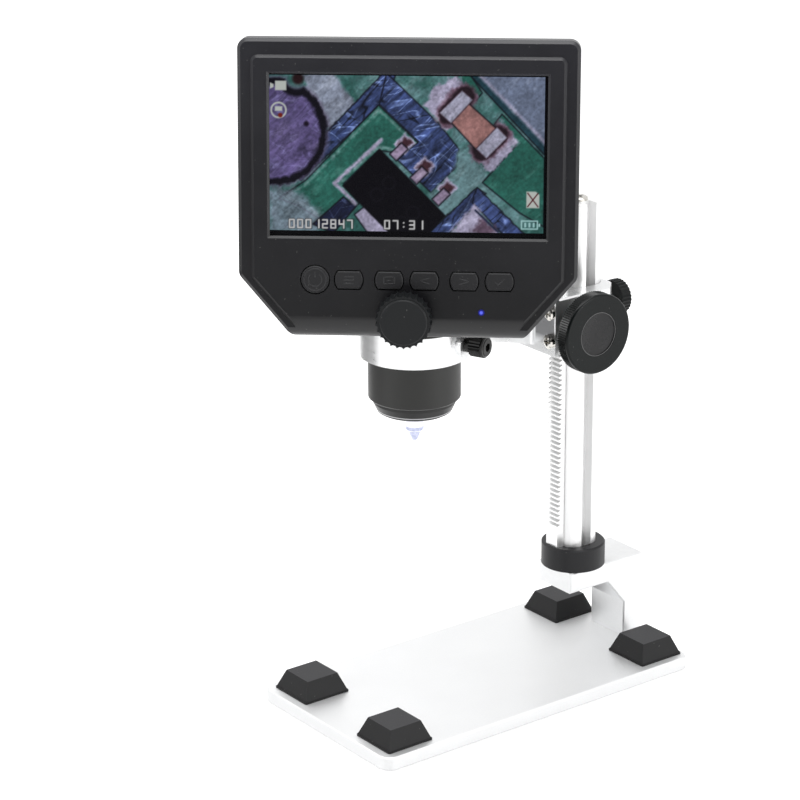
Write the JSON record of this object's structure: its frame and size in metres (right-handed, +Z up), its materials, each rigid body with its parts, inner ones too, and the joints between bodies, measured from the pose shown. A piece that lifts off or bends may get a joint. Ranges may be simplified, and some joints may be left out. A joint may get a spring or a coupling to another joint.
{
  "type": "digital microscope",
  "caption": "Desk microscope with a screen head held in a ring arm that rides a rack column on a flat base plate, with focus knob, lock screws and keys.",
  "frame": {"origin": "on the table under the optical axis, in the plane of the base plate's underside", "axes": "+Z up along the optical axis, +Y back towards the column, +X to the right of someone who faces the column"},
  "size_m": [0.1077, 0.1761, 0.2668],
  "materials": {
    "base_plate": "silver anodised, fine bead blast",
    "rubber_pads": "black moulded rubber",
    "column_bracket": "silver anodised bar",
    "bracket_screws": "plain steel",
    "column_foot_screw": "plain steel",
    "column_collar": "black, semi-gloss",
    "column": "silver anodised extrusion",
    "rack": "silver, machined teeth",
    "column_top_screw": "bright plated steel",
    "carriage_block": "silver anodised",
    "shaft_bushings": "turned brass",
    "ring_arm": "white-silver satin paint",
    "arm_screws": "bright plated steel",
    "pinion_shaft": "turned steel",
    "drive_knob_right": "black, fine matt grain",
    "drive_knob_left": "black, fine matt grain",
    "knob_cap_right": "dark grey, satin",
    "knob_cap_left": "dark grey, satin",
    "lock_knob": "black knurled",
    "lock_screw": "plain steel",
    "ring_screw": "black oxide, knurled",
    "front_bezel": "black, satin grain",
    "rear_shell": "black, satin grain",
    "shell_screws": "plain steel",
    "lcd_panel": "dark display glass",
    "key_board": "green circuit board",
    "main_board": "green circuit board",
    "battery": "wrapped cell",
    "sensor_board": "green circuit board",
    "status_led": "blue light pipe",
    "usb_port": "pressed sheet",
    "card_slot": "pressed sheet",
    "camera_tube": "black satin",
    "lens_ring": "black, semi-gloss",
    "led_board": "white board with clear lamps",
    "lens_nose": "clear light guide, faint violet",
    "lens_barrel": "black anodised",
    "objective_lens": "clear coated glass",
    "focus_rack": "natural acetal",
    "focus_knob": "black, satin",
    "focus_shaft": "turned steel",
    "power_key": "black, satin",
    "menu_key": "black, satin",
    "mode_key": "black, satin",
    "left_key": "black, satin",
    "right_key": "black, satin",
    "ok_key": "black, satin"
  },
  "bodies": {
    "base": {"base_plate": "base_plate", "rubber_pads": "rubber_pads", "column_bracket": "column_bracket", "bracket_screws": "bracket_screws", "column_foot_screw": "column_foot_screw", "column_collar": "column_collar", "column": "column", "rack": "rack", "column_top_screw": "column_top_screw"},
    "carriage": {"carriage_block": "carriage_block", "shaft_bushings": "shaft_bushings", "ring_arm": "ring_arm", "arm_screws": "arm_screws"},
    "pinion": {"pinion_shaft": "pinion_shaft", "drive_knob_right": "drive_knob_right", "drive_knob_left": "drive_knob_left", "knob_cap_right": "knob_cap_right", "knob_cap_left": "knob_cap_left"},
    "lock_knob": {"lock_knob": "lock_knob", "lock_screw": "lock_screw"},
    "ring_screw": {"ring_screw": "ring_screw"},
    "head": {"front_bezel": "front_bezel", "rear_shell": "rear_shell", "shell_screws": "shell_screws", "lcd_panel": "lcd_panel", "key_board": "key_board", "main_board": "main_board", "battery": "battery", "sensor_board": "sensor_board", "status_led": "status_led", "usb_port": "usb_port", "card_slot": "card_slot", "camera_tube": "camera_tube", "lens_ring": "lens_ring", "led_board": "led_board", "lens_nose": "lens_nose"},
    "lens_barrel": {"lens_barrel": "lens_barrel", "objective_lens": "objective_lens", "focus_rack": "focus_rack"},
    "focus": {"focus_knob": "focus_knob", "focus_shaft": "focus_shaft"},
    "power_key": {"power_key": "power_key"},
    "menu_key": {"menu_key": "menu_key"},
    "mode_key": {"mode_key": "mode_key"},
    "left_key": {"left_key": "left_key"},
    "right_key": {"right_key": "right_key"},
    "ok_key": {"ok_key": "ok_key"}
  },
  "joints": [
    {"name": "carriage_slide", "type": "slide", "parent": "base", "child": "carriage", "axis": [0, 0, 1], "range_m": [-0.084, 0.03]},
    {"name": "pinion_turn", "type": "hinge", "parent": "carriage", "child": "pinion", "pos_m": [0, 0.06459, 0.1441], "axis": [1, 0, 0], "range_deg": [-545, 1520]},
    {"name": "lock_knob_turn", "type": "hinge", "parent": "carriage", "child": "lock_knob", "pos_m": [0, 0.096, 0.1451], "axis": [0, 1, 0], "range_deg": [-360, 0]},
    {"name": "ring_screw_turn", "type": "hinge", "parent": "carriage", "child": "ring_screw", "pos_m": [0, 0, 0.1498], "axis": [0.9205, 0.3907, 0], "range_deg": [-360, 0]},
    {"name": "head_turn", "type": "hinge", "parent": "carriage", "child": "head", "pos_m": [0, 0, 0.149], "axis": [0, 0, 1], "range_deg": [-139.2, 40.8]},
    {"name": "lens_slide", "type": "slide", "parent": "head", "child": "lens_barrel", "axis": [0, 0, 1], "range_m": [-0.004, 0.005]},
    {"name": "focus_turn", "type": "hinge", "parent": "head", "child": "focus", "pos_m": [0.03356, -0.02999, 0.1711], "axis": [0.7575, -0.6529, 0], "range_deg": [-60, 75]},
    {"name": "power_press", "type": "slide", "parent": "head", "child": "power_key", "axis": [-0.7512, 0.6475, -0.1281], "range_m": [0, 0.0006], "stiffness_N_per_m": 600},
    {"name": "menu_press", "type": "slide", "parent": "head", "child": "menu_key", "axis": [-0.7512, 0.6475, -0.1281], "range_m": [0, 0.0006], "stiffness_N_per_m": 600},
    {"name": "mode_press", "type": "slide", "parent": "head", "child": "mode_key", "axis": [-0.7512, 0.6475, -0.1281], "range_m": [0, 0.0006], "stiffness_N_per_m": 600},
    {"name": "left_press", "type": "slide", "parent": "head", "child": "left_key", "axis": [-0.7512, 0.6475, -0.1281], "range_m": [0, 0.0006], "stiffness_N_per_m": 600},
    {"name": "right_press", "type": "slide", "parent": "head", "child": "right_key", "axis": [-0.7512, 0.6475, -0.1281], "range_m": [0, 0.0006], "stiffness_N_per_m": 600},
    {"name": "ok_press", "type": "slide", "parent": "head", "child": "ok_key", "axis": [-0.7512, 0.6475, -0.1281], "range_m": [0, 0.0006], "stiffness_N_per_m": 600}
  ],
  "couplings": [
    {"joint": "pinion_turn", "follows": "carriage_slide", "rad_per_m": -314.16},
    {"joint": "focus_turn", "follows": "lens_slide", "rad_per_m": 250}
  ]
}
